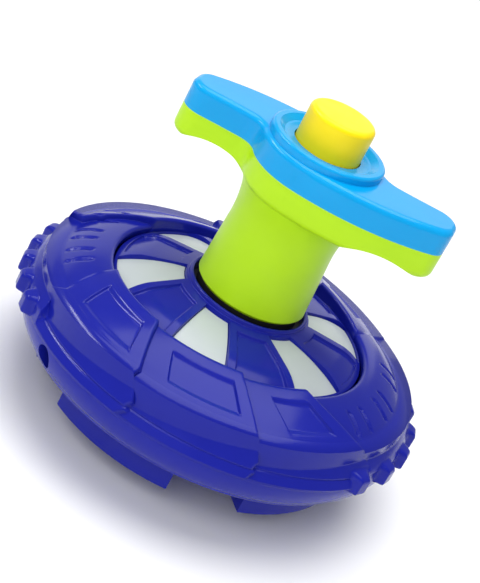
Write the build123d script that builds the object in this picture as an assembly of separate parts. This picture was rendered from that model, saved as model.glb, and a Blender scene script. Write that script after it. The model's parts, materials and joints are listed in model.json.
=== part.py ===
"""Light-up spinning top with its wind-up launcher.

The top stands upright on its spin tip: the origin is the tip's contact point, +Z is the spin axis and
+X runs along the launcher's two wings. Sizes are in millimetres, angles in degrees.
"""
from build123d import *
import os
from math import cos, degrees, radians, sin

os.makedirs("parts", exist_ok=True)

# ---- driving dimensions: the top ----------------------------------------------------------------
LUG_BOTTOM_Z = 5.0              # underside of the feet round the base
BASE_Z = 11.7                   # underside of the bowl
SPLIT_Z = 18.6                  # joint line between the bowl and the armour ring
HUB_Z = 34.4                    # top of the raised ring round the launcher's barrel
WALL = 2.0                      # shell thickness of the top
BASE_EDGE_R = 40.0              # lower edge of the bowl
SKIRT_R = 43.2                  # outer wall where the bowl meets the armour ring
LIP_R, LIP_Z = 28.4, 28.4       # lower edge of the armour ring's inner lip
ROLL = (38.0, 27.0)             # where the ring's slope turns into its outer wall
TOOTH_R = 45.1                  # tips of the flange's teeth
LUG_IN_R, LUG_OUT_R = 30.5, 35.3
LUG_COUNT, LUG_ARC, LUG_START, LUG_ROUND = 5, 47.0, -125.0, 0.6
SIDE_HOLE_R, SIDE_HOLE_ANGLE, SIDE_HOLE_Z = 2.3, -127.3, 16.2
WINDOW_COUNT, WINDOW_FIRST = 6, 25.0
WINDOW_IN_R, WINDOW_OUT_R, WINDOW_SWIRL = 13.9, 27.4, 4.3
WINDOW_IN_ARC, WINDOW_OUT_ARC = 24.0, 27.0
RECESS_IN_R, RECESS_OUT_R, RECESS_IN_ARC, RECESS_OUT_ARC = 15.6, 26.7, 23.4, 25.8
HUB_R, HUB_BORE_R = 13.4, 12.4
SOCKET_LOW_Z, SOCKET_HIGH_Z = 27.0, 31.8
DOG_COUNT, DOG_IN_R, DOG_OUT_R, DOG_ARC = 3, 5.4, 8.0, 26.0
SHELL_SCREW_PCD_R = 33.0
DOOR_R, DOOR_SCREW_R, DOOR_Z = 16.4, 14.0, 11.0
CELL_R, CELL_H, CELL_COUNT, CELL_LOW_Z = 5.8, 5.4, 3, 8.2   # 11.6 x 5.4 button cells, stacked
TIP_R, TIP_SHANK_R = 2.2, 1.7      # free end of the tip's pin, and its shank inside the door
TIP_SHOULDER_Z, DOOR_LOW_Z = 5.4, 5.9
BOARD_Z, BOARD_T, BOARD_R, BOARD_BORE_R = 22.0, 1.2, 27.0, 8.2
BOARD_SCREW_PCD_R, BOARD_SCREW_FIRST = 24.0, 55.0
LED_R = 21.5
SWITCH_PIVOT = (17.0, 90.0)     # radius and angle of the centrifugal switch's pin
SWITCH_ARM = 8.0                # length of the switch arm, pin to weight

# Armour panels: start and end angle at the inner edge, then at the outer edge.
PANELS = [(-148.5, -110.5, -136.0, -96.0), (-110.5, -71.5, -96.0, -60.0), (-71.5, -43.5, -60.0, -22.0),
          (36.4, 69.0, 51.5, 84.0), (69.0, 107.0, 84.0, 120.0), (107.0, 157.0, 120.0, 184.0)]
PANEL_SHIFT, PANEL_TILT = 1.4, 3.0      # how far each panel's trailing end stands over the next one
POCKET_DEPTH = 0.6
TEETH = [165.5, 175.8, 186.1, 196.4, 206.7, 217.0, -27.0, -14.5, -2.0, 10.5, 22.5, 34.5]
MARKS = [-24.5, -17.5, -6.0, 1.0, 15.0, 22.0, -154.0, -161.0, -170.0, -177.0, -189.0, -196.0]

# ---- driving dimensions: the launcher -----------------------------------------------------------
BARREL_LOW_Z, BARREL_EDGE_Z, BARREL_R, BARREL_TOP_Z = 34.9, 35.5, 12.0, 60.0
FLARE_R, FLARE_Z = 11.3, 48.5   # where the tapering barrel starts to widen into the grip
WING_Z = 57.8                   # underside of the wing tips
PART_Z = 63.8                   # joint line between the two halves of the grip
FLOOR_Z = 61.7                  # floor of the mechanism space
ROOF_Z, COVER_Z = 67.5, 69.3    # inside and outside of the cover's top
COLLAR_R, COLLAR_IN_R, COLLAR_Z, DISH_Z = 12.3, 10.8, 71.0, 69.9
BULGE_R = 13.4                  # round middle of the grip
GRIP_WALL = 1.8
WING_X = 29.8                   # reach of a wing
WING_START, WING_ROOT = -95.0, 13.0     # angles on the bulge where a wing's two edges leave it
WING_NEAR_Y, WING_FAR_Y, WING_FAR_MID = -4.2, 4.9, (20.0, 3.6)
WING_TIP_R, WING_ROOT_R = 4.3, 4.0
BUTTON_R, BUTTON_Z, BUTTON_ROUND = 7.0, 77.5, 1.1
BUTTON_HOLE_R = 7.25
FLANGE_Z, FLANGE_T, FLANGE_R = 66.3, 1.0, 8.8
SPINDLE_R, ARBOR_R, SPINDLE_TOP_Z = 2.5, 3.4, 64.4
FLANGE_FOOT_R = 11.3            # dark foot of the spindle, just below the barrel's edge
RATCHET_TEETH, RATCHET_R, RATCHET_ROOT_R = 16, 6.4, 5.3
RATCHET_Z, RATCHET_T = 61.9, 2.2
CATCH_RATIO = 0.7               # catch travel for each millimetre of button travel
SPRING_LOW_Z, SPRING_HIGH_Z = 39.2, 50.2
GRIP_SCREW = (24.6, -1.6)
GRIP_SCREW_Z = 59.4
FIT = 0.05                      # radial clearance of a running fit
SCREW_R, HEAD_R, HEAD_T = 1.1, 2.1, 1.2


# ---- helpers ------------------------------------------------------------------------------------
def turned(*edges):
    """Solid of revolution about Z from a closed outline in the XZ plane."""
    return revolve(make_face(list(edges)), Axis.Z)


def line(*points):
    """Straight edges through (radius, height) points."""
    return Polyline(*[(r, 0, z) for r, z in points])


def arc(*points):
    """Circular edge through three (radius, height) points."""
    return ThreePointArc(*[(r, 0, z) for r, z in points])


def lathe(*points):
    """Solid of revolution about Z from straight-sided (radius, height) points."""
    return revolve(make_face(Polyline(*[(r, 0, z) for r, z in points], close=True)), Axis.Z)


def rod(radius, low, high, x=0.0, y=0.0):
    """Upright round bar."""
    return Pos(x, y, low) * Cylinder(radius, high - low, align=(Align.CENTER, Align.CENTER, Align.MIN))


def tube(outer, inner, low, high, x=0.0, y=0.0):
    """Upright ring."""
    return rod(outer, low, high, x, y) - rod(inner, low - 1, high + 1, x, y)


def block(low, high):
    """Box between two corners."""
    size = [b - a for a, b in zip(low, high)]
    return Pos(*[(a + b) / 2 for a, b in zip(low, high)]) * Box(*size)


def polar(radius, angle, z=0.0):
    """Point at a radius and an angle."""
    return (radius * cos(radians(angle)), radius * sin(radians(angle)), z)


def upright(face, low, high):
    """Prism of a flat face, between two heights."""
    return Pos(0, 0, low) * extrude(face, high - low, dir=(0, 0, 1))


def prism(points, low, high):
    """Upright prism of a closed polygon."""
    return upright(make_face(Polyline(*points, close=True)), low, high)


def sector(inner, outer, start_in, end_in, start_out, end_out, low, high):
    """Upright prism of a ring sector whose ends may be slanted."""
    outer_arc = ThreePointArc(
        polar(outer, start_out), polar(outer, (start_out + end_out) / 2), polar(outer, end_out))
    inner_arc = ThreePointArc(
        polar(inner, end_in), polar(inner, (start_in + end_in) / 2), polar(inner, start_in))
    start = Line(polar(inner, start_in), polar(outer, start_out))
    end = Line(polar(outer, end_out), polar(inner, end_in))
    return upright(make_face([start, outer_arc, end, inner_arc]), low, high)


def around(count, first=0.0):
    """Angles of a regular pattern."""
    return [first + 360.0 * i / count for i in range(count)]


def screw(x, y, head_low, length):
    """Tapping screw driven upwards, head down, with a cross recess."""
    body = rod(HEAD_R, head_low, head_low + HEAD_T, x, y)
    body += rod(SCREW_R, head_low + HEAD_T - 0.2, head_low + length, x, y)
    cross = block((x - 1.2, y - 0.25, head_low - 0.1), (x + 1.2, y + 0.25, head_low + 0.6))
    cross += block((x - 0.25, y - 1.2, head_low - 0.1), (x + 0.25, y + 1.2, head_low + 0.6))
    return body - cross


def coil(radius, wire, low, high, turns):
    """Helical spring, standing on Z."""
    path = Helix((high - low - wire) / turns, high - low - wire, radius)
    section = Plane(origin=path @ 0, z_dir=path % 0) * Circle(wire / 2)
    return Pos(0, 0, low + wire / 2) * sweep(section, path=path)


def shell_screw_angles():
    """The screws of the case sit in the gaps between the feet."""
    gap_centre = LUG_START - (360.0 / LUG_COUNT - LUG_ARC) / 2
    return around(LUG_COUNT, gap_centre)


# ---- the top: shells ----------------------------------------------------------------------------
def ring_section():
    """Section of the armour ring: rounded lip, falling slope, outer wall and skirt."""
    edge = (29.2, 30.45)
    return turned(
        line((LIP_R, LIP_Z), (LIP_R, 29.8)),
        arc((LIP_R, 29.8), (28.63, 30.27), edge),
        arc(edge, (34.0, 29.45), ROLL),
        arc(ROLL, (41.3, 24.8), (SKIRT_R, 21.8)),
        line((SKIRT_R, 21.8), (SKIRT_R, SPLIT_Z), (SKIRT_R - WALL, SPLIT_Z), (SKIRT_R - WALL, 21.4)),
        arc((SKIRT_R - WALL, 21.4), (39.4, 23.5), (36.6, 25.5)),
        arc((36.6, 25.5), (33.4, 27.4), (30.4, LIP_Z)),
        line((30.4, LIP_Z), (LIP_R, LIP_Z)))


def panel(start_in, end_in, start_out, end_out):
    """One overlapping armour panel, with a pocket in its sloping face."""
    band = turned(
        line((28.0, 30.0), (28.0, 30.6)),
        arc((28.0, 30.6), (28.2, 31.1), (28.7, 31.3)),
        arc((28.7, 31.3), (33.6, 29.75), (38.2, 27.4)),
        arc((38.2, 27.4), (40.3, 25.9), (41.8, 24.0)),
        line((41.8, 24.0), (44.1, 21.8), (44.1, 21.4), (43.6, 21.3), (43.6, 19.3)),
        line((43.6, 19.3), (42.2, 19.3), (42.2, 21.6)),
        arc((42.2, 21.6), (40.2, 24.2), (37.2, 26.3)),
        line((37.2, 26.3), (33.0, 28.2), (30.0, 30.0), (28.0, 30.0)))
    pocket = turned(
        line((31.0, 36.0), (31.0, 29.86), (39.5, 26.59), (39.5, 36.0), (31.0, 36.0)))
    middle = (start_in + end_in) / 2 + 4.0
    lean = Rot(0, 0, middle) * Pos(0, PANEL_SHIFT, 0) * Rot(PANEL_TILT, 0, 0) * Rot(0, 0, -middle)
    slant = (start_out - start_in) / 15.0
    wedge = sector(26.0, 47.0, start_in - 2 * slant, end_in - 2 * slant,
                   start_out + 4 * slant, end_out + 4 * slant, 15, 40)
    inset = sector(30.0, 40.5, start_in + 7, end_in - 3, start_in + 17, end_in + 8, 15, 40)
    return ((lean * band) & wedge) - ((lean * pocket) & inset)


def armour_ring():
    ring = ring_section()
    for ends in PANELS:
        ring += panel(*ends)
    for angle in TEETH:
        foot = [polar(SKIRT_R - 0.6, angle - 4.4), polar(TOOTH_R, angle - 1.6)]
        foot += [polar(TOOTH_R, angle + 1.6), polar(SKIRT_R - 0.6, angle + 4.4)]
        ring += prism(foot, SPLIT_Z, 22.3)
    groove = Pos(35.2, 0, 28.8) * Rot(0, 28, 0) * Box(4.6, 0.8, 0.8)
    for angle in MARKS:
        ring -= Rot(0, 0, angle) * groove
    places = [polar(SHELL_SCREW_PCD_R, angle)[:2] for angle in shell_screw_angles()]
    for place in places:
        ring += rod(3.2, 14.4, 27.4, *place)
    for place in places:
        ring -= rod(SCREW_R, 13.0, 25.0, *place)
    return ring


def lower_shell():
    shell = turned(
        line((11.6, BASE_Z), (BASE_EDGE_R - 1.5, BASE_Z)),
        arc((BASE_EDGE_R - 1.5, BASE_Z), (BASE_EDGE_R - 0.2, BASE_Z + 0.35),
            (BASE_EDGE_R + 0.6, BASE_Z + 1.3)),
        arc((BASE_EDGE_R + 0.6, BASE_Z + 1.3), (42.4, 15.4), (SKIRT_R, SPLIT_Z)),
        line((SKIRT_R, SPLIT_Z), (SKIRT_R - WALL, SPLIT_Z)),
        arc((SKIRT_R - WALL, SPLIT_Z), (40.6, 16.2), (39.0, BASE_Z + WALL)),
        line((39.0, BASE_Z + WALL), (19.4, BASE_Z + WALL), (19.4, 17.0), (11.6, 17.0), (11.6, BASE_Z)))
    for angle in around(LUG_COUNT, LUG_START):
        end = angle + LUG_ARC
        lug = sector(LUG_IN_R, LUG_OUT_R, angle, end, angle, end, LUG_BOTTOM_Z, BASE_Z + 0.5)
        rim = lug.edges().filter_by_position(Axis.Z, LUG_BOTTOM_Z - 0.01, LUG_BOTTOM_Z + 0.01)
        shell += fillet(rim, LUG_ROUND)
    shell -= rod(DOOR_R + 0.15, BASE_Z - 1, 13.4)
    for angle in shell_screw_angles():
        x, y, _ = polar(SHELL_SCREW_PCD_R, angle)
        shell += rod(3.2, BASE_Z, 14.3, x, y)
        shell -= rod(HEAD_R + 0.2, BASE_Z - 1, BASE_Z + HEAD_T, x, y)
        shell -= rod(SCREW_R + 0.2, BASE_Z, 15, x, y)
    for angle in around(3, 90):
        x, y, _ = polar(DOOR_SCREW_R, angle)
        shell -= rod(SCREW_R, 13, 16.5, x, y)
    for angle in around(3, BOARD_SCREW_FIRST):
        x, y, _ = polar(BOARD_SCREW_PCD_R, angle)
        shell += rod(2.4, BASE_Z + 1, BOARD_Z, x, y)
        shell -= rod(SCREW_R, 16, BOARD_Z + 1, x, y)
    hole = Rot(0, 0, SIDE_HOLE_ANGLE) * Pos(42, 0, SIDE_HOLE_Z) * Rot(0, 90, 0) * Cylinder(SIDE_HOLE_R, 8)
    return shell - hole


def dish_band(above, below, inner, outer):
    """Ring between the dish's top surface raised by one amount and lowered by another."""
    def height(radius):
        return 33.4 - (radius - 14.0) * 0.17 - max(0.0, radius - 22.0) ** 2 * 0.055
    mid = (inner + outer) / 2
    top = [(r, height(r) + above) for r in (inner, mid, outer)]
    low = [(r, height(r) - below) for r in (outer, mid, inner)]
    return turned(arc(*top), line(top[-1], low[0]), arc(*low), line(low[-1], top[0]))


def window(angle, gap=0.0):
    """Upright prism of one skewed window's outline, or of a pad with a gap round it."""
    inner, outer = WINDOW_IN_R + gap, WINDOW_OUT_R - gap
    a_in = WINDOW_IN_ARC / 2 - degrees(gap / inner)
    a_out = WINDOW_OUT_ARC / 2 - degrees(gap / outer)
    low, high = angle - WINDOW_SWIRL, angle + WINDOW_SWIRL
    return sector(inner, outer, low - a_in, low + a_in, high - a_out, high + a_out, 20, 40)


def spoked_hub():
    hub = dish_band(0, 1.8, 13.0, 27.9)
    hub += tube(HUB_R, HUB_BORE_R, SOCKET_LOW_Z, HUB_Z)
    hub += tube(29.6, 27.2, 26.6, 28.3)
    a_in, a_out = RECESS_IN_ARC / 2, RECESS_OUT_ARC / 2
    for angle in around(WINDOW_COUNT, WINDOW_FIRST):
        hub -= window(angle)
        between = angle + 180.0 / WINDOW_COUNT
        low, high = between - 0.75 * WINDOW_SWIRL, between + 0.9 * WINDOW_SWIRL
        recess = sector(RECESS_IN_R, RECESS_OUT_R, low - a_in, low + a_in, high - a_out, high + a_out, 20, 40)
        hub -= dish_band(3.0, POCKET_DEPTH, 15.0, 27.5) & recess
    return hub


def window_lens():
    lens = dish_band(-2.4, 3.4, HUB_R + 0.2, 26.9)
    for angle in around(WINDOW_COUNT, WINDOW_FIRST):
        lens += dish_band(-0.7, 2.7, HUB_R + 0.2, 27.3) & window(angle, 0.15)
    return lens


def drive_socket():
    socket = tube(HUB_BORE_R, 3.0, SOCKET_LOW_Z, SOCKET_HIGH_Z)
    half = DOG_ARC / 2 + 4.0
    for angle in around(DOG_COUNT, 30):
        start, end = angle - half, angle + half
        socket -= sector(DOG_IN_R - 0.5, DOG_OUT_R + 0.5, start, end, start, end,
                         SOCKET_HIGH_Z - 3.6, SOCKET_HIGH_Z + 1)
    return socket


# ---- the top: electronics and base --------------------------------------------------------------
def battery_holder():
    top_z = CELL_LOW_Z + CELL_COUNT * CELL_H
    body = tube(7.6, CELL_R + 0.25, 13.4, top_z + 0.6) + rod(7.6, top_z + 0.6, top_z + 1.8)
    body += tube(11.4, 7.4, 17.0, 18.4)
    for angle in around(3, 90):
        body += sector(10.9, 19.2, angle - 8, angle + 8, angle - 5, angle + 5, 17.0, 18.4)
        body -= rod(SCREW_R + 0.1, 16, 20, *polar(DOOR_SCREW_R, angle)[:2])
    return body


def button_cells():
    cells = []
    for i in range(CELL_COUNT):
        low = CELL_LOW_Z + i * CELL_H
        can = rod(CELL_R, low, low + CELL_H - 1.0)
        can += rod(CELL_R - 0.9, low + CELL_H - 1.2, low + CELL_H - 0.05)
        cells.append(can)
    return Compound(cells)


def battery_contact_top():
    top_z = CELL_LOW_Z + CELL_COUNT * CELL_H
    return rod(4.5, top_z + 0.05, top_z + 0.45)


def battery_contact_bottom():
    low = CELL_LOW_Z - 0.6
    return rod(4.8, low, low + 0.25) + rod(2.4, low + 0.2, low + 0.55)


def battery_door():
    door = turned(
        line((TIP_SHANK_R, DOOR_LOW_Z), (4.8, DOOR_LOW_Z), (8.0, 8.6), (8.3, DOOR_Z), (DOOR_R - 0.6, DOOR_Z),
             (DOOR_R, DOOR_Z + 0.6), (DOOR_R, 13.3), (CELL_R + 0.25, 13.3), (CELL_R + 0.25, 7.5),
             (TIP_SHANK_R, 7.5), (TIP_SHANK_R, DOOR_LOW_Z)))
    for angle in around(3, 90):
        x, y, _ = polar(DOOR_SCREW_R, angle)
        door -= rod(HEAD_R + 0.15, DOOR_Z - 1, DOOR_Z + HEAD_T, x, y)
        door -= rod(SCREW_R + 0.15, DOOR_Z, 14, x, y)
    return door


def spin_tip():
    return turned(
        arc((0, 0), (TIP_R * 0.7071, TIP_R * 0.2929), (TIP_R, TIP_R)),
        line((TIP_R, TIP_R), (TIP_R, TIP_SHOULDER_Z), (TIP_SHANK_R, TIP_SHOULDER_Z)),
        line((TIP_SHANK_R, TIP_SHOULDER_Z), (TIP_SHANK_R, 7.4), (0, 7.4), (0, 0)))


def led_board():
    board = tube(BOARD_R, BOARD_BORE_R, BOARD_Z, BOARD_Z + BOARD_T)
    for angle in around(3, BOARD_SCREW_FIRST):
        board -= rod(SCREW_R + 0.2, BOARD_Z - 1, BOARD_Z + 2, *polar(BOARD_SCREW_PCD_R, angle)[:2])
    return board


def leds():
    top = BOARD_Z + BOARD_T
    parts = []
    for angle in around(WINDOW_COUNT, WINDOW_FIRST):
        base = Pos(LED_R, 0, top + 0.5) * Box(3.4, 3.0, 1.0)
        dome = (Pos(LED_R, 0, top + 0.9) * Sphere(1.3)) & block((15, -3, top + 0.9), (28, 3, top + 3))
        parts.append(Rot(0, 0, angle) * (base + dome))
    return Compound(parts)


def control_chip():
    top = BOARD_Z + BOARD_T
    body = Pos(14.5, 0, top + 0.8) * Box(5.0, 6.0, 1.2)
    for side in (-1, 1):
        for i in range(4):
            body += Pos(14.5 - 1.8 + 1.2 * i, side * 3.4, top + 0.35) * Box(0.5, 1.4, 0.7)
    return Rot(0, 0, 235) * body


def resistors():
    top = BOARD_Z + BOARD_T
    chips = []
    for angle in around(WINDOW_COUNT, WINDOW_FIRST + 13):
        chips.append(Rot(0, 0, angle) * Pos(LED_R + 1.5, 0, top + 0.3) * Box(2.0, 1.2, 0.6))
    return Compound(chips)


def switch_pin():
    x, y, _ = polar(*SWITCH_PIVOT)
    top = BOARD_Z + BOARD_T
    return rod(0.8, top, top + 3.0, x, y) + rod(1.6, top, top + 0.5, x, y)


def switch_place(shape):
    """From the switch's own frame, pin at the origin and arm along X, to its place on the board."""
    radius, angle = SWITCH_PIVOT
    return Pos(*polar(radius, angle, BOARD_Z + BOARD_T)) * Rot(0, 0, angle + 90) * shape


def switch_arm():
    arm = tube(1.7, 0.8 + FIT, 0.7, 2.4) + block((1.4, -0.4, 0.9), (SWITCH_ARM, 0.4, 2.2))
    return switch_place(arm)


def switch_weight():
    weight = Pos(SWITCH_ARM, 0, 0.6) * Cylinder(1.5, 2.0, align=(Align.CENTER, Align.CENTER, Align.MIN))
    return switch_place(weight - block((0, -0.4, 0.9), (SWITCH_ARM, 0.4, 2.2)))


def switch_post():
    post = block((SWITCH_ARM - 1.2, -3.6, 0), (SWITCH_ARM + 1.2, -2.9, 2.4))
    return switch_place(post + block((SWITCH_ARM - 1.2, -4.6, 0), (SWITCH_ARM + 1.2, -2.9, 0.4)))


def shell_screws():
    return Compound([screw(*polar(SHELL_SCREW_PCD_R, a)[:2], BASE_Z, 12.0) for a in shell_screw_angles()])


def door_screws():
    return Compound([screw(*polar(DOOR_SCREW_R, a)[:2], DOOR_Z, 5.2) for a in around(3, 90)])


def board_screws():
    """Screws that hold the board to its posts, heads up."""
    parts = []
    top = BOARD_Z + BOARD_T
    for angle in around(3, BOARD_SCREW_FIRST):
        x, y, _ = polar(BOARD_SCREW_PCD_R, angle)
        parts.append(rod(HEAD_R - 0.2, top, top + 0.9, x, y) + rod(SCREW_R - 0.1, 17.0, top + 0.1, x, y))
    return Compound(parts)


# ---- the launcher: driver -----------------------------------------------------------------------
def drive_spindle():
    spindle = lathe(
        (0, 32.6), (FLANGE_FOOT_R, 32.6), (FLANGE_FOOT_R, 34.7), (9.6, 34.7), (9.6, 35.6),
        (ARBOR_R, 36.4), (ARBOR_R, 52.0), (SPINDLE_R, 52.8), (SPINDLE_R, SPINDLE_TOP_Z), (0, SPINDLE_TOP_Z))
    half = DOG_ARC / 2
    for angle in around(DOG_COUNT, 30):
        start, end = angle - half, angle + half
        spindle += sector(DOG_IN_R, DOG_OUT_R, start, end, start, end, 28.8, 33.0)
    return spindle


def ratchet_wheel():
    """Saw-toothed wheel: its steep faces look anticlockwise and rest against the catch."""
    points = []
    pitch = 360.0 / RATCHET_TEETH
    for i in range(RATCHET_TEETH):
        start = -22.0 + i * pitch
        points += [polar(RATCHET_ROOT_R, start), polar(RATCHET_R, start + 14), polar(RATCHET_R, start + 17),
                   polar(RATCHET_ROOT_R, start + 18)]
    wheel = prism([p[:2] for p in points], RATCHET_Z, RATCHET_Z + RATCHET_T)
    return wheel - rod(SPINDLE_R, RATCHET_Z - 1, RATCHET_Z + 4)


def thrust_washer():
    return rod(5.0, SPINDLE_TOP_Z, SPINDLE_TOP_Z + 0.5)


# ---- the launcher: grip -------------------------------------------------------------------------
def grip_outline(offset_by=0.0):
    """Propeller-shaped outline of the grip: two wings on a round middle."""
    start, root = polar(BULGE_R, WING_START), polar(BULGE_R, WING_ROOT)
    near_end, far_start = (WING_X, WING_NEAR_Y), (WING_X, WING_FAR_Y)
    bulge_middle = (WING_ROOT + WING_START + 180) / 2
    half = [
        TangentArc(start, near_end, tangent=polar(1, WING_START + 90)),
        Line(near_end, far_start),
        ThreePointArc(far_start, WING_FAR_MID, root),
        ThreePointArc(root, polar(BULGE_R, bulge_middle), polar(BULGE_R, WING_START + 180)),
    ]
    face = make_face(half + [Rot(0, 0, 180) * edge for edge in half])
    tips = [v for v in face.vertices() if abs(v.X) > WING_X - 0.1]
    face = fillet(tips, WING_TIP_R)
    roots = [v for v in face.vertices() if abs(v.X - root[0]) < 0.1 or abs(v.X + root[0]) < 0.1]
    face = fillet(roots, WING_ROOT_R)
    if offset_by:
        face = offset(face, amount=offset_by)
    return face


def grip_body():
    wing = upright(grip_outline(), WING_Z, PART_Z)
    edges = wing.edges().filter_by_position(Axis.Z, WING_Z - 0.01, WING_Z + 0.01)
    wing = fillet(edges, 1.6)
    for side in (-1, 1):
        wing -= Pos(side * 19.5, 0, WING_Z - 13.9) * Rot(90, 0, 0) * Cylinder(16.0, 60)
    taper = (FLARE_R - BARREL_R, 0, FLARE_Z - BARREL_EDGE_Z)
    flare = TangentArc((FLARE_R, 0, FLARE_Z), (BULGE_R - 0.02, 0, BARREL_TOP_Z), tangent=taper)
    barrel = turned(
        line((0, BARREL_LOW_Z), (BARREL_R - 0.5, BARREL_LOW_Z), (BARREL_R, BARREL_EDGE_Z)),
        line((BARREL_R, BARREL_EDGE_Z), (FLARE_R, FLARE_Z)), flare,
        line((BULGE_R - 0.02, BARREL_TOP_Z), (0, BARREL_TOP_Z), (0, BARREL_LOW_Z)))
    body = wing + barrel
    body -= lathe((0, BARREL_LOW_Z - 1), (BARREL_R - GRIP_WALL, BARREL_LOW_Z - 1),
                  (BARREL_R - GRIP_WALL, 36.0), (9.0, 59.7), (0, 59.7))
    body -= upright(grip_outline(-GRIP_WALL), FLOOR_Z, PART_Z + 1)
    body -= rod(4.0, 59, 63)
    for side in (1, -1):
        x, y = side * GRIP_SCREW[0], side * GRIP_SCREW[1]
        body -= rod(HEAD_R + 0.3, WING_Z - 1, GRIP_SCREW_Z + HEAD_T, x, y)
        body -= rod(SCREW_R + 0.2, WING_Z, FLOOR_Z + 1, x, y)
    return body


def grip_cover():
    cover = upright(grip_outline(), PART_Z, COVER_Z)
    edges = cover.edges().filter_by_position(Axis.Z, COVER_Z - 0.01, COVER_Z + 0.01)
    cover = fillet(edges, 1.3)
    cover -= upright(grip_outline(-GRIP_WALL), PART_Z - 1, ROOF_Z)
    cover += turned(
        line((BUTTON_HOLE_R, ROOF_Z), (COLLAR_R, ROOF_Z), (COLLAR_R, COLLAR_Z - 0.6)),
        arc((COLLAR_R, COLLAR_Z - 0.6), (COLLAR_R - 0.18, COLLAR_Z - 0.18), (COLLAR_R - 0.6, COLLAR_Z)),
        line((COLLAR_R - 0.6, COLLAR_Z), (COLLAR_IN_R, COLLAR_Z)),
        arc((COLLAR_IN_R, COLLAR_Z), (9.3, DISH_Z + 0.3), (BUTTON_HOLE_R, DISH_Z)),
        line((BUTTON_HOLE_R, DISH_Z), (BUTTON_HOLE_R, ROOF_Z)))
    cover -= rod(BUTTON_HOLE_R, ROOF_Z - 1, COLLAR_Z + 1)
    cover -= lathe((BUTTON_HOLE_R - 1, DISH_Z), (COLLAR_IN_R - 1.4, DISH_Z + 0.2), (COLLAR_IN_R, COLLAR_Z),
                   (COLLAR_IN_R, COLLAR_Z + 1), (BUTTON_HOLE_R - 1, COLLAR_Z + 1))
    for side in (1, -1):
        x, y = side * GRIP_SCREW[0], side * GRIP_SCREW[1]
        cover += rod(2.4, FLOOR_Z + 0.1, ROOF_Z + 0.2, x, y)
        cover -= rod(SCREW_R, FLOOR_Z, ROOF_Z - 0.6, x, y)
    return cover


def spindle_bush():
    return tube(4.0, SPINDLE_R + FIT, 59.7, FLOOR_Z)


def spring_plate():
    return tube(9.8, ARBOR_R + FIT, 37.0, 38.4)


def mainspring():
    """Flat spiral spring of half-turns whose centres alternate, from the arbor to the barrel wall."""
    strip, step = 0.4, 0.52
    parts = []
    radius = ARBOR_R + 0.35
    for i in range(10):
        centre = 0.0 if i % 2 == 0 else -step
        half = tube(radius + strip, radius, SPRING_LOW_Z, SPRING_HIGH_Z, centre, 0.0)
        low_y, high_y = (0.0, 20.0) if i % 2 == 0 else (-20.0, 0.0)
        parts.append(half & block((-20, low_y, SPRING_LOW_Z - 1), (20, high_y, SPRING_HIGH_Z + 1)))
        radius += step
    spring = parts[0]
    for part in parts[1:]:
        spring += part
    return spring


def grip_screws():
    return Compound([screw(s * GRIP_SCREW[0], s * GRIP_SCREW[1], GRIP_SCREW_Z, 7.0) for s in (1, -1)])


def button_spring():
    return coil(4.4, 0.6, SPINDLE_TOP_Z + 0.5, 75.5, 6)


def catch_spring():
    spring = coil(1.2, 0.35, 0, 4.0, 6)
    return Pos(16.9, -2.2, RATCHET_Z + 1.3) * Rot(0, 90, 0) * spring


# ---- the launcher: button and catch -------------------------------------------------------------
def release_button():
    """Push button with a wedge-shaped leg that draws the catch out of the ratchet."""
    body = rod(BUTTON_R, FLANGE_Z, BUTTON_Z)
    top = body.edges().filter_by_position(Axis.Z, BUTTON_Z - 0.01, BUTTON_Z + 0.01)
    body = fillet(top, BUTTON_ROUND)
    body += rod(FLANGE_R, FLANGE_Z, FLANGE_Z + FLANGE_T)
    body += block((7.0, -3.6, FLANGE_Z), (12.8, -0.6, FLANGE_Z + FLANGE_T))
    body += block((-12.8, 0.6, FLANGE_Z), (-7.0, 3.6, FLANGE_Z + FLANGE_T))
    body -= rod(5.6, FLANGE_Z - 1, BUTTON_Z - 1.9)
    tip_z = RATCHET_Z + RATCHET_T + 0.2
    leg = [(10.2, tip_z), (11.0, tip_z), (11.0 + CATCH_RATIO * (FLANGE_Z - tip_z), FLANGE_Z + 0.5),
           (10.2, FLANGE_Z + 0.5)]
    face = make_face(Polyline(*[(x, -3.4, z) for x, z in leg], close=True))
    return body + extrude(face, amount=2.6, dir=(0, 1, 0))


def release_catch():
    low, high = RATCHET_Z, RATCHET_Z + RATCHET_T
    nose = prism([(5.5, -0.25), (5.5, 0.12), (6.2, 1.1), (7.4, 1.1), (7.4, -0.25)], low, high)
    plate = block((7.0, -4.4, low), (16.8, 1.1, high))
    window_cut = block((8.5, -3.7, low - 1), (11.2, -0.5, high + 1))
    return plate + nose - window_cut


# ---- write every piece --------------------------------------------------------------------------
PIECES = [
    armour_ring, lower_shell, spoked_hub, window_lens, drive_socket, battery_holder, button_cells,
    battery_contact_top, battery_contact_bottom, battery_door, spin_tip, led_board, leds, control_chip,
    resistors, switch_pin, switch_arm, switch_weight, switch_post, shell_screws, door_screws, board_screws,
    drive_spindle, ratchet_wheel, thrust_washer, grip_body, grip_cover, spindle_bush, spring_plate,
    mainspring, grip_screws, button_spring, catch_spring, release_button, release_catch,
]
for piece in PIECES:
    export_step(piece(), f"parts/{piece.__name__}.step")
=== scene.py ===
import json
from math import atan2, cos, hypot, pi, radians, sin

import bpy
import numpy as np
from mathutils import Matrix, Vector

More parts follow.
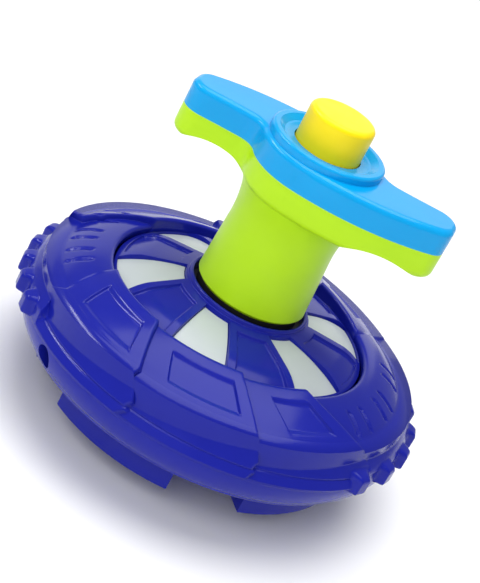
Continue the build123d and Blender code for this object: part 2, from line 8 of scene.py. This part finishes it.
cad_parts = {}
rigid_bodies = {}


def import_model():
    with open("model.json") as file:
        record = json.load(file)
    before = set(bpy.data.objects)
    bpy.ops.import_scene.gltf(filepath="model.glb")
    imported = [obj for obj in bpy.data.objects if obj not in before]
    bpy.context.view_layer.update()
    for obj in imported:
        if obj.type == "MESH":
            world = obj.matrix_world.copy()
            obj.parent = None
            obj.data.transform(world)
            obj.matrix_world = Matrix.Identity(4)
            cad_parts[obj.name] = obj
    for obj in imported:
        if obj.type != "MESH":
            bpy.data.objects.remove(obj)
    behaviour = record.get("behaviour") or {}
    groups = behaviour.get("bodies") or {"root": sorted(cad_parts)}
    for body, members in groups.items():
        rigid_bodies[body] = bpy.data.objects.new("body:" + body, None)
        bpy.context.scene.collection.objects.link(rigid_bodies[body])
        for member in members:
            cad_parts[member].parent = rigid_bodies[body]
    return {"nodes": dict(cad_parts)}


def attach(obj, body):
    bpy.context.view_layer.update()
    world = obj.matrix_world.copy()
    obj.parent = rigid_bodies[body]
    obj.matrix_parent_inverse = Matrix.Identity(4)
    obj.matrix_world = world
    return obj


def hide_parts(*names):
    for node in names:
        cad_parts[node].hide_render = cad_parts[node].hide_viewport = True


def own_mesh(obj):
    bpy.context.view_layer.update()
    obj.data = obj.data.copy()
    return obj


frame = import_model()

SCENE = bpy.context.scene
for spare in [o for o in bpy.data.objects if o.name in ("Cube", "Light", "Camera")]:
    bpy.data.objects.remove(spare)
bpy.context.view_layer.update()
MM = 0.001


# ---- camera, light and floor --------------------------------------------------------------------
# The camera's own axes: 26 degrees above the disc, rolled so that the spin axis leans to the right.
VIEW_RIGHT, VIEW_UP, VIEW_BACK = (0.8535, 0.3003, 0.4259), (-0.5123, 0.3343, 0.7911), (0.0952, -0.8933, 0.4392)
EYE_MM = (31.4, -311.8, 186.5)
FLOOR_HALF, FLOOR_Z = 3.0, -0.0002


def camera():
    data = bpy.data.cameras.new("camera")
    data.lens = 105.0
    data.sensor_width = 36.0
    data.dof.use_dof = False
    data.clip_start, data.clip_end = 0.01, 20.0
    eye = bpy.data.objects.new("camera", data)
    SCENE.collection.objects.link(eye)
    turn = Matrix((VIEW_RIGHT, VIEW_UP, VIEW_BACK)).transposed()
    turn = turn.to_quaternion().to_matrix().to_4x4()
    eye.matrix_world = Matrix.Translation(Vector(EYE_MM) * MM) @ turn
    SCENE.camera = eye


def softbox(name, place, target, size, radiance, size_y=None, only=None):
    """A rectangular light that the camera doesn't see. only limits it to diffuse or glossy light."""
    data = bpy.data.lights.new(name, "AREA")
    data.shape = "RECTANGLE"
    data.size, data.size_y = size, size_y or size
    data.energy = radiance * pi * data.size * data.size_y
    lamp = bpy.data.objects.new(name, data)
    SCENE.collection.objects.link(lamp)
    lamp.location = place
    lamp.rotation_euler = (Vector(target) - Vector(place)).to_track_quat("-Z", "Y").to_euler()
    lamp.visible_camera = False
    lamp.visible_glossy = only != "diffuse"
    lamp.visible_diffuse = only != "glossy"


def studio():
    r, u, b = Vector(VIEW_RIGHT), Vector(VIEW_UP), Vector(VIEW_BACK)
    centre = Vector((0, 0, 0.03))
    softbox("overhead", Vector((-0.05, 0.10, 1.0)), centre, 0.9, 3.5)
    softbox("front", centre + 0.85 * b + 0.25 * u - 0.1 * r, centre, 0.6, 3.2, only="diffuse")
    softbox("backdrop", centre - 0.9 * b + 0.75 * u, centre, 1.5, 0.75, 0.8, only="glossy")
    softbox("strip", centre + 0.9 * Vector((-0.73, -0.03, 0.63)), centre, 0.55, 24.0, 0.07, only="glossy")
    world = bpy.data.worlds.new("studio")
    world.use_nodes = True
    sky = world.node_tree.nodes["Background"]
    sky.inputs["Color"].default_value = (0.95, 0.96, 1.0, 1)
    sky.inputs["Strength"].default_value = 0.38
    SCENE.world = world
    SCENE.view_settings.view_transform = "Standard"
    SCENE.view_settings.look = "None"
    mesh = bpy.data.meshes.new("floor")
    corners = [(x * FLOOR_HALF, y * FLOOR_HALF, 0) for x, y in ((-1, -1), (1, -1), (1, 1), (-1, 1))]
    mesh.from_pydata(corners, [], [(0, 1, 2, 3)])
    floor = bpy.data.objects.new("floor", mesh)
    SCENE.collection.objects.link(floor)
    floor.location.z = FLOOR_Z
    paint = bpy.data.materials.new("paper")
    paint.use_nodes = True
    shader = paint.node_tree.nodes["Principled BSDF"]
    shader.inputs["Base Color"].default_value = (0.96, 0.96, 0.96, 1)
    shader.inputs["Roughness"].default_value = 0.9
    shader.inputs["Specular IOR Level"].default_value = 0.1
    mesh.materials.append(paint)


camera()
studio()


# ---- materials ----------------------------------------------------------------------------------
DRIFT_SCALE, GLOSS_SCALE, GRAIN_SCALE = 70.0, 240.0, 1600.0
NOISE_LOW, NOISE_HIGH = 0.3, 0.7
GRAIN_STRENGTH, GRAIN_HEIGHT = 0.02, 0.0001
MILKY_DEPTH = 0.0004


def finish_of(name, colour, shade, rough, metallic=0.0, specular=0.5, milky=0.0):
    """Moulded plastic or metal: a faint drift from colour to shade, uneven gloss and a fine grain."""
    paint = bpy.data.materials.new(name)
    paint.use_nodes = True
    nodes, links = paint.node_tree.nodes, paint.node_tree.links
    shader = nodes["Principled BSDF"]
    place = nodes.new("ShaderNodeTexCoord")

    def noise(scale, detail=3.0):
        node = nodes.new("ShaderNodeTexNoise")
        node.inputs["Scale"].default_value = scale
        node.inputs["Detail"].default_value = detail
        links.new(place.outputs["Object"], node.inputs["Vector"])
        return node

    drift = noise(DRIFT_SCALE)
    ramp = nodes.new("ShaderNodeValToRGB")
    low, high = ramp.color_ramp.elements
    low.position, high.position = NOISE_LOW, NOISE_HIGH
    low.color, high.color = (*(shade or [c * 0.88 for c in colour]), 1), (*colour, 1)
    links.new(drift.outputs["Fac"], ramp.inputs["Fac"])
    links.new(ramp.outputs["Color"], shader.inputs["Base Color"])
    gloss = noise(GLOSS_SCALE)
    span = nodes.new("ShaderNodeMapRange")
    span.inputs["From Min"].default_value, span.inputs["From Max"].default_value = NOISE_LOW, NOISE_HIGH
    span.inputs["To Min"].default_value, span.inputs["To Max"].default_value = rough
    links.new(gloss.outputs["Fac"], span.inputs["Value"])
    links.new(span.outputs["Result"], shader.inputs["Roughness"])
    fine = noise(GRAIN_SCALE, 2.0)
    relief = nodes.new("ShaderNodeBump")
    relief.inputs["Strength"].default_value = GRAIN_STRENGTH
    relief.inputs["Distance"].default_value = GRAIN_HEIGHT
    links.new(fine.outputs["Fac"], relief.inputs["Height"])
    links.new(relief.outputs["Normal"], shader.inputs["Normal"])
    shader.inputs["Metallic"].default_value = metallic
    shader.inputs["Specular IOR Level"].default_value = specular
    if milky:
        shader.inputs["Subsurface Weight"].default_value = milky
        shader.inputs["Subsurface Radius"].default_value = (1.0, 1.0, 1.0)
        shader.inputs["Subsurface Scale"].default_value = MILKY_DEPTH
    return paint


# slot: colour, shade (None is a darker colour), the span of roughness, and what else differs
FINISHES = {
    "deep_blue_plastic": ((0.0095, 0.015, 0.315), (0.0086, 0.0135, 0.292), (0.14, 0.20), dict(specular=0.2)),
    "milky_lens": ((0.535, 0.575, 0.60), (0.515, 0.555, 0.58), (0.32, 0.42), dict(milky=0.3)),
    "lime_plastic": ((0.49, 0.82, 0.005), (0.45, 0.78, 0.005), (0.30, 0.42), dict(specular=0.3)),
    "sky_plastic": ((0.001, 0.365, 0.78), (0.001, 0.342, 0.75), (0.13, 0.20), dict(specular=0.25)),
    "yellow_plastic": ((1.0, 0.77, 0.002), (0.98, 0.73, 0.002), (0.30, 0.42), dict(specular=0.3)),
    "inner_plastic": ((0.45, 0.46, 0.48), None, (0.35, 0.5), {}),
    "black_plastic": ((0.012, 0.012, 0.014), None, (0.35, 0.5), {}),
    "board_green": ((0.01, 0.16, 0.05), None, (0.3, 0.4), {}),
    "led_epoxy": ((0.85, 0.82, 0.62), None, (0.1, 0.2), {}),
    "spring_steel": ((0.42, 0.42, 0.44), None, (0.25, 0.4), dict(metallic=1.0)),
    "plated_steel": ((0.62, 0.62, 0.64), None, (0.16, 0.3), dict(metallic=1.0)),
    "brass": ((0.72, 0.52, 0.22), None, (0.2, 0.35), dict(metallic=1.0)),
}
PAINT = {slot: finish_of(slot, colour, shade, rough, **more)
         for slot, (colour, shade, rough, more) in FINISHES.items()}
for node in frame["nodes"].values():
    for i, old in enumerate(node.data.materials):
        node.data.materials[i] = PAINT[old.name.split(".")[0]]


# ---- mesh helpers -------------------------------------------------------------------------------
def smooth(t):
    """An even step from 0 to 1 as t goes from 0 to 1."""
    t = np.clip(t, 0.0, 1.0)
    return t * t * (3.0 - 2.0 * t)


def plate_edge(distance, rounding=0.6):
    """Share of a plate's height at a distance inside its outline: a steep wall with a rounded top."""
    t = np.clip((distance + 0.05) / (rounding + 0.05), 0.0, 1.0)
    return 1.0 - (1.0 - t) ** 3


def straight(a, b, count):
    """Points of a straight run, without the last."""
    t = np.linspace(0.0, 1.0, count, endpoint=False)[:, None]
    return np.array(a) + (np.array(b, float) - np.array(a, float)) * t


def bow(a, m, b, count):
    """Points of a circular arc through three points, without the last."""
    (ax, ay), (mx, my), (bx, by) = a, m, b
    d = 2 * (ax * (my - by) + mx * (by - ay) + bx * (ay - my))
    a2, m2, b2 = ax * ax + ay * ay, mx * mx + my * my, bx * bx + by * by
    cx = (a2 * (my - by) + m2 * (by - ay) + b2 * (ay - my)) / d
    cy = (a2 * (bx - mx) + m2 * (ax - bx) + b2 * (mx - ax)) / d
    start, middle, end = (atan2(y - cy, x - cx) for x, y in (a, m, b))
    sweep = (end - start) % (2 * pi)
    if (middle - start) % (2 * pi) > sweep:
        sweep -= 2 * pi
    angles = start + sweep * np.linspace(0.0, 1.0, count, endpoint=False)
    radius = hypot(ax - cx, ay - cy)
    return np.stack([cx + radius * np.cos(angles), cy + radius * np.sin(angles)], 1)


def spread(keys, offsets, base, low, high):
    """Sorted grid lines from low to high: an even pitch, with more lines round each key."""
    lines = list(np.arange(low, high, base))
    for key in keys:
        lines += [key + o for o in offsets]
    lines = np.unique(np.round([v for v in lines if low <= v < high], 4))
    return lines[np.concatenate([[True], np.diff(lines) > 0.02])]


def piece(name, vertices, faces, body, slot, *nodes, sharp=None):
    """A mesh from points in mm, which rides on a body and stands for the CAD nodes named."""
    mesh = bpy.data.meshes.new(name)
    mesh.from_pydata((np.asarray(vertices) * MM).tolist(), [], faces)
    mesh.validate()
    mesh.shade_smooth()
    if sharp:
        mesh.set_sharp_from_angle(angle=radians(sharp))
    mesh.materials.append(PAINT[slot])
    obj = bpy.data.objects.new(name, mesh)
    SCENE.collection.objects.link(obj)
    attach(obj, body)
    if nodes:
        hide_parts(*nodes)
    return obj


def torus_faces(rows, cols):
    """Faces of a grid that closes on itself both ways."""
    r, c = np.meshgrid(np.arange(rows), np.arange(cols), indexing="ij")
    r2, c2 = (r + 1) % rows, (c + 1) % cols
    return np.stack([r * cols + c, r2 * cols + c, r2 * cols + c2, r * cols + c2], -1).reshape(-1, 4).tolist()


def slab(top, bottom, keep):
    """Two matching round grids joined into one closed skin. Cells that aren't kept are openings."""
    rows, cols = top.shape[:2]
    low = rows * cols

    def at(r, c):
        return r * cols + c % cols
    faces = []
    kept = np.vstack([np.zeros((1, cols), bool), keep, np.zeros((1, cols), bool)])
    for r in range(rows - 1):
        for c in np.nonzero(keep[r])[0].tolist():
            a, b, d, e = at(r, c), at(r + 1, c), at(r + 1, c + 1), at(r, c + 1)
            faces.append((a, b, d, e))
            faces.append((low + a, low + e, low + d, low + b))
            if not kept[r, c]:
                faces.append((a, e, low + e, low + a))
            if not kept[r + 2, c]:
                faces.append((d, b, low + b, low + d))
            if not keep[r, c - 1]:
                faces.append((b, a, low + a, low + b))
            if not keep[r, (c + 1) % cols]:
                faces.append((e, d, low + d, low + e))
    used = np.unique(np.array(faces))
    renumber = np.full(2 * low, -1)
    renumber[used] = np.arange(len(used))
    vertices = np.concatenate([top.reshape(-1, 3), bottom.reshape(-1, 3)])[used]
    return vertices, renumber[np.array(faces)].tolist()


def round_grid(radius, angle, height):
    """Points round the spin axis, the angles in degrees."""
    return np.stack([radius * np.cos(np.radians(angle)), radius * np.sin(np.radians(angle)), height], -1)


# ---- the armour ring ----------------------------------------------------------------------------
# Where each panel or plain stretch starts, in degrees, at the ring's inner and outer edge. The rest
# is in mm, apart from the angles of the teeth and the marks.
ENDS_IN = np.array([-148.5, -110.5, -71.5, -43.5, 36.4, 69.0, 107.0, 157.0, 211.5])
ENDS_OUT = np.array([-136.0, -96.0, -60.0, -22.0, 51.5, 84.0, 120.0, 184.0, 224.0])
RING_IN, RING_OUT = 28.4, 43.2
PANELS = (0, 1, 2, 4, 5, 6)
PLATE_LOW_Z, PLATE_CORNER_Z = 21.34, 21.4
TOP_LIFT, TOP_RISE, WALL_LIFT, WALL_RISE = -0.30, 1.35, -1.1, 1.66
LIP_ROW, CREST_ROW, TOOTH_ROW, WALL_ROW = 3, 31, 40, 60
TEETH = [165.5, 175.8, 186.1, 196.4, 206.7, 217.0, -27.0, -14.5, -2.0, 10.5, 22.5, 34.5]
TOOTH_FOOT, TOOTH_HEAD, TOOTH_FLANK, TOOTH_ROOT_R = 4.4, 1.6, 2.8, 41.5
POCKET_DEPTH, POCKET_IN, POCKET_OUT, POCKET_START, POCKET_END = 0.55, 31.2, 37.6, 9.0, 5.0
MARK_R, MARK_HALF, MARK_WIDE, MARK_DEPTH = 35.2, 2.1, 0.45, 0.4
MARKS = [-24.5, -17.5, -6.0, 1.0, 15.0, 22.0, -154.0, -161.0, -170.0, -177.0, -189.0, -196.0]


def turn_back(angles):
    """The same angles, from the first panel's start round to it again."""
    return (np.asarray(angles, float) - ENDS_IN[0]) % 360.0 + ENDS_IN[0]


def ring_rows():
    """Matching outlines of the plain ring and of a panel, from the lip over the crest down the skirt."""
    plain = [straight((28.4, 28.4), (28.4, 29.6), 5), bow((28.4, 29.6), (28.6, 30.2), (29.2, 30.45), 6),
             bow((29.2, 30.45), (34.0, 29.2), (38.0, 26.8), 25),
             bow((38.0, 26.8), (41.3, 24.6), (43.2, 21.8), 35)]
    panel = [straight((28.0, 28.4), (28.0, 30.5), 5), bow((28.0, 30.5), (28.17, 31.1), (28.7, 31.3), 6),
             bow((28.7, 31.3), (33.6, 29.5), (38.0, 27.45), 25),
             bow((38.0, 27.45), (39.6, 26.4), (40.5, 24.9), 14), straight((40.5, 24.9), (42.68, 21.37), 21)]
    skirt = [21.62, 21.45, 21.3, 21.15, 21.0, 20.8, 20.4, 20.0, 19.6, 19.4, 19.25, 19.1, 18.9, 18.6]
    plain.append(np.array([(RING_OUT, z) for z in skirt]))
    panel.append(np.array([(42.70, 21.33), (42.60, 21.25), (42.62, 21.12), (42.85, 21.02), (43.02, 20.8),
                           (43.27, 20.4), (43.52, 20.0), (43.74, 19.65), (43.82, 19.5), (43.76, 19.38),
                           (43.5, 19.31), (43.22, 19.28), (43.2, 19.0), (43.2, 18.6)]))
    return np.concatenate(plain), np.concatenate(panel), len(skirt)


def ring_columns():
    """Grid lines round the ring, closer together at the panels' ends, teeth, marks and pockets."""
    slant = ENDS_OUT - ENDS_IN

    def column_of(angle, radius):
        share = (radius - RING_IN) / (RING_OUT - RING_IN)
        return turn_back(np.interp(turn_back(angle), ENDS_IN + slant * share, ENDS_IN, period=360.0))
    tooth_edges = (-TOOTH_FOOT, -TOOTH_HEAD, TOOTH_HEAD, TOOTH_FOOT)
    keys = [(list(ENDS_IN[:-1]), (-0.5, -0.25, -0.12, -0.06, 0, 0.06, 0.12, 0.25, 0.4, 0.6, 0.85, 1.1)),
            ([column_of(a + o, RING_OUT) for a in TEETH for o in tooth_edges], (-0.2, 0, 0.2)),
            ([column_of(a, MARK_R) for a in MARKS], np.arange(-2.4, 2.5, 0.2))]
    for i in PANELS:
        keys.append(([ENDS_IN[i] + POCKET_START, ENDS_IN[i + 1] - POCKET_END],
                     (-0.5, -0.3, -0.15, 0, 0.15, 0.3, 0.5)))
    lines = np.concatenate([[k + o for k in ks for o in offsets] for ks, offsets in keys])
    return spread(turn_back(lines), (0.0,), 0.6, ENDS_IN[0], ENDS_IN[-1])


def slanted(cols, radii):
    """The angle of each grid line at each radius: the panels' ends run aslant over the ring."""
    share = np.clip((radii - RING_IN) / (RING_OUT - RING_IN), 0, 1)
    return cols[None, :] + np.interp(cols, ENDS_IN, ENDS_OUT - ENDS_IN)[None, :] * share[:, None]


def armour_ring():
    plain, panel, skirt_rows = ring_rows()
    rows = len(plain)
    skirt = rows - skirt_rows
    row = np.arange(rows)
    flange = row >= skirt + 4
    cols = ring_columns()
    angle = slanted(cols, plain[:, 0])
    per_degree = plain[:, :1] * pi / 180 * 0.85
    shape = np.repeat(plain[:, None, :], len(cols), 1)
    tilt = np.radians(np.interp(plain[:, 0], [28.4, 34.0, 38.0, 42.0, 43.2], [15, 22, 34, 55, 80]))
    up = np.stack([np.sin(tilt), np.cos(tilt)], 1)
    top_share = np.interp(row, [0, LIP_ROW, CREST_ROW, skirt], [0, 1, 1, 0])[:, None]
    wall_rows = [CREST_ROW, WALL_ROW, skirt, rows - 6, rows - 2]
    wall_share = np.interp(row, wall_rows, [0, 0.8, 0.8, 0.5, 0])[:, None]
    sink = POCKET_DEPTH * smooth((POCKET_OUT - panel[:, 0]) / 0.9) * (row < skirt)
    below = np.maximum(0.0, PLATE_LOW_Z - panel[:, 1]) * flange
    for i in reversed(PANELS):
        start, end = ENDS_IN[i], ENDS_IN[i + 1]
        u = np.clip((cols - start) / (end - start), 0, 1)[None, :]
        # How far each point is inside the panel's two ends and the cut corner between end and wall.
        first = (cols - start)[None, :] * per_degree + (0.0 if i in (0, 4) else 2.0)
        last = (end - cols)[None, :] * per_degree - below[:, None]
        corner = (last + np.abs(panel[:, 1] - PLATE_CORNER_Z)[:, None] * 1.0 - 1.0) / 1.414
        corner = corner + 3.0 * flange[:, None]
        mask = plate_edge(np.minimum(np.minimum(first, last), corner))
        lift = (TOP_LIFT + TOP_RISE * u) * top_share + (WALL_LIFT + WALL_RISE * u) * wall_share
        into = smooth(((cols - start - POCKET_START) * 0.5 / 0.35)[None, :])
        into = into * smooth(((end - POCKET_END - cols) * 0.5 / 0.35)[None, :])
        into = into * smooth((panel[:, 0] - POCKET_IN) / 0.35)[:, None]
        raised = panel[:, None, :] + up[:, None, :] * (lift - sink[:, None] * into)[..., None]
        shape = shape + (raised - shape) * mask[..., None]
    tooth = np.interp(shape[..., 1], [18.6, 18.8, 21.5, 22.1, 22.5, 23.2],
                      [44.9, 45.05, 45.05, 44.8, 44.2, TOOTH_ROOT_R])
    for centre in TEETH:
        off = (angle - centre + 180.0) % 360.0 - 180.0
        out = TOOTH_ROOT_R + (tooth - TOOTH_ROOT_R) * np.clip((TOOTH_FOOT - np.abs(off)) / TOOTH_FLANK, 0, 1)
        shape[TOOTH_ROW:, :, 0] = np.maximum(shape[TOOTH_ROW:, :, 0], out[TOOTH_ROW:])
    for centre in MARKS:
        across = ((angle - centre + 180.0) % 360.0 - 180.0) * pi / 180 * plain[:, :1]
        along = (plain[:, :1] - MARK_R) * 1.1
        slot = np.hypot(across, np.maximum(0, np.abs(along) - MARK_HALF)) - MARK_WIDE
        dig = MARK_DEPTH * smooth(-slot / 0.25 + 0.5) * (row < skirt)[:, None]
        shape = shape - up[:, None, :] * dig[..., None]
    inside = np.array([(41.2, 18.6), (41.2, 21.4), (39.7, 23.4), (37.2, 25.2), (34.0, 27.0), (32.0, 27.9),
                       (30.4, 28.4)])
    radius = np.vstack([shape[..., 0], np.repeat(inside[:, :1], len(cols), 1)])
    height = np.vstack([shape[..., 1], np.repeat(inside[:, 1:], len(cols), 1)])
    grid = round_grid(radius, np.vstack([angle, slanted(cols, inside[:, 0])]), height)
    faces = torus_faces(*radius.shape)
    return piece("armour_shell", grid.reshape(-1, 3), faces, "top", "deep_blue_plastic", "armour_ring")


# ---- the spoked hub -----------------------------------------------------------------------------
# In mm and degrees. A window and the recess beside it repeat six times, each 60 degrees wide. Every
# straight side is given by its offset from the window's middle line at WINDOW_IN and at WINDOW_OUT.
WINDOW_COUNT, WINDOW_FIRST, WINDOW_IN, WINDOW_OUT, SWIRL = 6, 25.0, 13.9, 27.4, 4.3
WINDOW_LOW, WINDOW_HIGH = (-12.0, -13.5), (12.0, 13.5)
RECESS_IN, RECESS_OUT, RECESS_DEPTH = 15.6, 26.7, 0.6
RECESS_LOW, RECESS_HIGH = (-18.3, -17.1), (18.3, 17.1)
SECTOR = [-30.0, -19.0, -12.0, 12.0, 19.0, 30.0]
COLLAR_R, COLLAR_LOW_Z, FRAME_THICK, WINDOW_DROP = 13.52, 27.0, 1.8, 1.7


def dish_height(radius):
    """Height of the dish: a straight slope that turns down towards its rim."""
    return 33.4 - (radius - 14.0) * 0.17 - np.maximum(0.0, radius - 22.0) ** 2 * 0.055


def edge_angle(radius, offsets):
    """Angle at each radius along a straight side."""
    first, last = radians(offsets[0] - SWIRL), radians(offsets[1] + SWIRL)
    x, y = WINDOW_IN * cos(first), WINDOW_IN * sin(first)
    dx, dy = WINDOW_OUT * cos(last) - x, WINDOW_OUT * sin(last) - y
    a, b, c = dx * dx + dy * dy, x * dx + y * dy, x * x + y * y - np.maximum(radius, 13.4) ** 2
    t = (np.sqrt(np.maximum(0.0, b * b - a * c)) - b) / a
    return np.degrees(np.arctan2(y + t * dy, x + t * dx))


def spoked_hub():
    collar = [(12.4, 31.9), (12.4, 33.9), (12.45, 34.15), (12.56, 34.32), (12.7, 34.4), (13.0, 34.4),
              (13.18, 34.34), (13.3, 34.18), (13.36, 33.95), (13.38, 33.7), (13.42, 33.55), (13.5, 33.49)]
    steps = (-0.3, -0.15, -0.05, 0.05, 0.12, 0.2, 0.3, 0.42, 0.6)
    radii = spread([WINDOW_IN, RECESS_IN, RECESS_OUT, WINDOW_OUT], steps, 0.5, 13.55, 27.92)
    profile = np.array(collar + [(r, dish_height(r)) for r in np.append(radii, 27.95)])
    radius, height = profile[:, 0], profile[:, 1]
    local = spread(SECTOR[1:-1], (-0.6, -0.35, -0.2, -0.1, 0, 0.1, 0.2, 0.35, 0.6), 1.0, SECTOR[0], SECTOR[-1])
    swirl = np.interp(radius, [WINDOW_IN, WINDOW_OUT], [-SWIRL, SWIRL])
    sides = [edge_angle(radius, offsets) for offsets in (RECESS_LOW, WINDOW_LOW, WINDOW_HIGH, RECESS_HIGH)]
    turned = np.array([np.interp(local, SECTOR, line) for line in zip(swirl - 30, *sides, swirl + 30)])
    recess_low, window_low, window_high, recess_high = (side[:, None] for side in sides)
    mm = radius[:, None] * pi / 180
    across = radius[:, None]
    in_window = np.minimum(np.minimum(turned - window_low, window_high - turned) * mm,
                           np.minimum(across - WINDOW_IN, WINDOW_OUT - across))
    in_recess = np.minimum(np.maximum(recess_low - turned, turned - recess_high) * mm,
                           np.minimum(across - RECESS_IN, RECESS_OUT - across))
    flat = (radius > COLLAR_R)[:, None]
    drop = WINDOW_DROP * plate_edge(in_window, 0.4) * flat
    drop = np.maximum(drop, RECESS_DEPTH * smooth(in_recess / 0.35) * flat)
    top_z = height[:, None] - drop
    low_z = np.where(flat, height[:, None] - FRAME_THICK, COLLAR_LOW_Z) + 0 * drop
    wide = np.repeat(radius[:, None], len(local), 1)
    angles = [WINDOW_FIRST + 60 * i + turned for i in range(WINDOW_COUNT)]
    top = np.concatenate([round_grid(wide, angle, top_z) for angle in angles], 1)
    low = np.concatenate([round_grid(wide, angle, low_z) for angle in angles], 1)
    points = np.tile(in_window < 0.4, WINDOW_COUNT)
    beside = np.roll(points, -1, 1)
    keep = points[:-1] | points[1:] | beside[:-1] | beside[1:]
    vertices, faces = slab(top, low, keep)
    return piece("hub_frame", vertices, faces, "top", "deep_blue_plastic", "spoked_hub", sharp=60)


# ---- the two springs that shorten when the button is pressed ------------------------------------
def coil_spring(name, node, radius, wire, length, turns, place, along):
    """Wire wound round a line from place along X or Z, in mm."""
    steps, sides = 28 * turns, 10
    t = np.linspace(0.0, 1.0, steps + 1)[:, None]
    around = 2 * pi * turns * t
    out = np.concatenate([np.cos(around), np.sin(around), 0 * t], 1)
    rise = (length - wire) / (2 * pi * turns * radius)
    run = np.concatenate([-np.sin(around), np.cos(around), rise + 0 * t], 1) / hypot(1, rise)
    beside = np.cross(run, out)
    centre = radius * out + np.array([0, 0, 1.0]) * (wire / 2 + (length - wire) * t)
    turn = 2 * pi * np.arange(sides) / sides
    ring = out[:, None, :] * np.cos(turn)[None, :, None] + beside[:, None, :] * np.sin(turn)[None, :, None]
    points = (centre[:, None, :] + wire / 2 * ring).reshape(-1, 3)
    if along == "X":
        points = np.stack([points[:, 2], points[:, 1], -points[:, 0]], 1)
    r, c = np.meshgrid(np.arange(steps), np.arange(sides), indexing="ij")
    c2 = (c + 1) % sides
    faces = np.stack([r * sides + c, r * sides + c2, (r + 1) * sides + c2, (r + 1) * sides + c], -1)
    faces = faces.reshape(-1, 4).tolist()
    faces += [tuple(range(sides))[::-1], tuple(range(steps * sides, (steps + 1) * sides))]
    spring = piece(name, points + np.array(place), faces, "handle", "spring_steel", node)
    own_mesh(spring)


armour_ring()
spoked_hub()
coil_spring("button_coil", "button_spring", radius=4.4, wire=0.6, length=10.6, turns=6, place=(0, 0, 64.9),
            along="Z")
coil_spring("catch_coil", "catch_spring", radius=1.2, wire=0.35, length=4.0, turns=6, place=(16.9, -2.2, 63.2),
            along="X")
